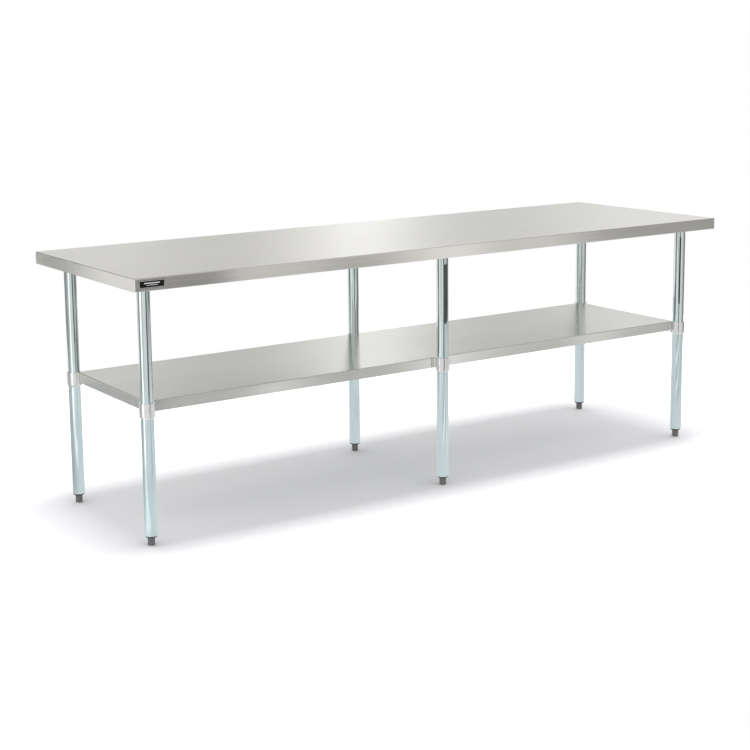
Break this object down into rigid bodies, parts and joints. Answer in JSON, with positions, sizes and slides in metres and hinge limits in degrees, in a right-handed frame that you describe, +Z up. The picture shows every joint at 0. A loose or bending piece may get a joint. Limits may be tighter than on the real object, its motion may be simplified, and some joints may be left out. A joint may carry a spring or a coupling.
{
  "type": "work table",
  "caption": "Long stainless work table with square turned-down edges, round tube legs on levelling feet and an undershelf that slides on the legs.",
  "frame": {"origin": "on the floor under the middle of the top", "axes": "+X along the length to the right, +Y to the back, +Z up; the nameplate is on the front at the left"},
  "size_m": [2.438, 0.7626, 0.864],
  "materials": {
    "satin_stainless": "satin, brushed along the length",
    "satin_shelf": "satin, brushed along the length",
    "bright_tube": "bright polished tube",
    "galvanised": "galvanised",
    "cast_aluminium": "fettled casting",
    "plated_steel": "zinc plated",
    "black_plastic": "moulded",
    "grey_plastic": "moulded",
    "black_enamel": "gloss enamel with a bright border"
  },
  "bodies": {
    "frame": {"tabletop": "satin_stainless", "nameplate": "black_enamel", "cross_channel_left": "galvanised", "cross_channel_mid": "galvanised", "cross_channel_right": "galvanised", "stringer_left": "galvanised", "stringer_right": "galvanised", "channel_studs": "plated_steel", "channel_nuts": "plated_steel", "socket_bolts": "plated_steel", "socket_nuts": "plated_steel", "socket_set_screws": "plated_steel", "socket_front_left": "cast_aluminium", "leg_front_left": "bright_tube", "foot_insert_front_left": "black_plastic", "socket_front_mid": "cast_aluminium", "leg_front_mid": "bright_tube", "foot_insert_front_mid": "black_plastic", "socket_front_right": "cast_aluminium", "leg_front_right": "bright_tube", "foot_insert_front_right": "black_plastic", "socket_rear_left": "cast_aluminium", "leg_rear_left": "bright_tube", "foot_insert_rear_left": "black_plastic", "socket_rear_mid": "cast_aluminium", "leg_rear_mid": "bright_tube", "foot_insert_rear_mid": "black_plastic", "socket_rear_right": "cast_aluminium", "leg_rear_right": "bright_tube", "foot_insert_rear_right": "black_plastic"},
    "shelf": {"undershelf": "satin_shelf", "shelf_channel": "galvanised", "shelf_studs": "plated_steel", "shelf_nuts": "plated_steel", "shelf_set_screws": "plated_steel", "collar_front_left": "cast_aluminium", "collar_front_mid": "cast_aluminium", "collar_front_right": "cast_aluminium", "collar_rear_left": "cast_aluminium", "collar_rear_mid": "cast_aluminium", "collar_rear_right": "cast_aluminium"},
    "screw_front_left": {"foot_stud_front_left": "plated_steel"},
    "tip_front_left": {"foot_tip_front_left": "grey_plastic"},
    "screw_front_mid": {"foot_stud_front_mid": "plated_steel"},
    "tip_front_mid": {"foot_tip_front_mid": "grey_plastic"},
    "screw_front_right": {"foot_stud_front_right": "plated_steel"},
    "tip_front_right": {"foot_tip_front_right": "grey_plastic"},
    "screw_rear_left": {"foot_stud_rear_left": "plated_steel"},
    "tip_rear_left": {"foot_tip_rear_left": "grey_plastic"},
    "screw_rear_mid": {"foot_stud_rear_mid": "plated_steel"},
    "tip_rear_mid": {"foot_tip_rear_mid": "grey_plastic"},
    "screw_rear_right": {"foot_stud_rear_right": "plated_steel"},
    "tip_rear_right": {"foot_tip_rear_right": "grey_plastic"}
  },
  "joints": [
    {"name": "shelf_height", "type": "slide", "parent": "frame", "child": "shelf", "axis": [0, 0, 1], "range_m": [-0.2, 0.25]},
    {"name": "foot_travel_front_left", "type": "slide", "parent": "frame", "child": "screw_front_left", "axis": [0, 0, -1], "range_m": [0, 0.025]},
    {"name": "foot_turn_front_left", "type": "hinge", "parent": "screw_front_left", "child": "tip_front_left", "pos_m": [-1.141, -0.278, 0], "axis": [0, 0, -1], "range_deg": [0, 5150]},
    {"name": "foot_travel_front_mid", "type": "slide", "parent": "frame", "child": "screw_front_mid", "axis": [0, 0, -1], "range_m": [0, 0.025]},
    {"name": "foot_turn_front_mid", "type": "hinge", "parent": "screw_front_mid", "child": "tip_front_mid", "pos_m": [0, -0.278, 0], "axis": [0, 0, -1], "range_deg": [0, 5150]},
    {"name": "foot_travel_front_right", "type": "slide", "parent": "frame", "child": "screw_front_right", "axis": [0, 0, -1], "range_m": [0, 0.025]},
    {"name": "foot_turn_front_right", "type": "hinge", "parent": "screw_front_right", "child": "tip_front_right", "pos_m": [1.141, -0.278, 0], "axis": [0, 0, -1], "range_deg": [0, 5150]},
    {"name": "foot_travel_rear_left", "type": "slide", "parent": "frame", "child": "screw_rear_left", "axis": [0, 0, -1], "range_m": [0, 0.025]},
    {"name": "foot_turn_rear_left", "type": "hinge", "parent": "screw_rear_left", "child": "tip_rear_left", "pos_m": [-1.141, 0.278, 0], "axis": [0, 0, -1], "range_deg": [0, 5150]},
    {"name": "foot_travel_rear_mid", "type": "slide", "parent": "frame", "child": "screw_rear_mid", "axis": [0, 0, -1], "range_m": [0, 0.025]},
    {"name": "foot_turn_rear_mid", "type": "hinge", "parent": "screw_rear_mid", "child": "tip_rear_mid", "pos_m": [0, 0.278, 0], "axis": [0, 0, -1], "range_deg": [0, 5150]},
    {"name": "foot_travel_rear_right", "type": "slide", "parent": "frame", "child": "screw_rear_right", "axis": [0, 0, -1], "range_m": [0, 0.025]},
    {"name": "foot_turn_rear_right", "type": "hinge", "parent": "screw_rear_right", "child": "tip_rear_right", "pos_m": [1.141, 0.278, 0], "axis": [0, 0, -1], "range_deg": [0, 5150]}
  ],
  "couplings": [
    {"joint": "foot_turn_front_left", "follows": "foot_travel_front_left", "rad_per_m": 3590.4},
    {"joint": "foot_turn_front_mid", "follows": "foot_travel_front_mid", "rad_per_m": 3590.4},
    {"joint": "foot_turn_front_right", "follows": "foot_travel_front_right", "rad_per_m": 3590.4},
    {"joint": "foot_turn_rear_left", "follows": "foot_travel_rear_left", "rad_per_m": 3590.4},
    {"joint": "foot_turn_rear_mid", "follows": "foot_travel_rear_mid", "rad_per_m": 3590.4},
    {"joint": "foot_turn_rear_right", "follows": "foot_travel_rear_right", "rad_per_m": 3590.4}
  ]
}
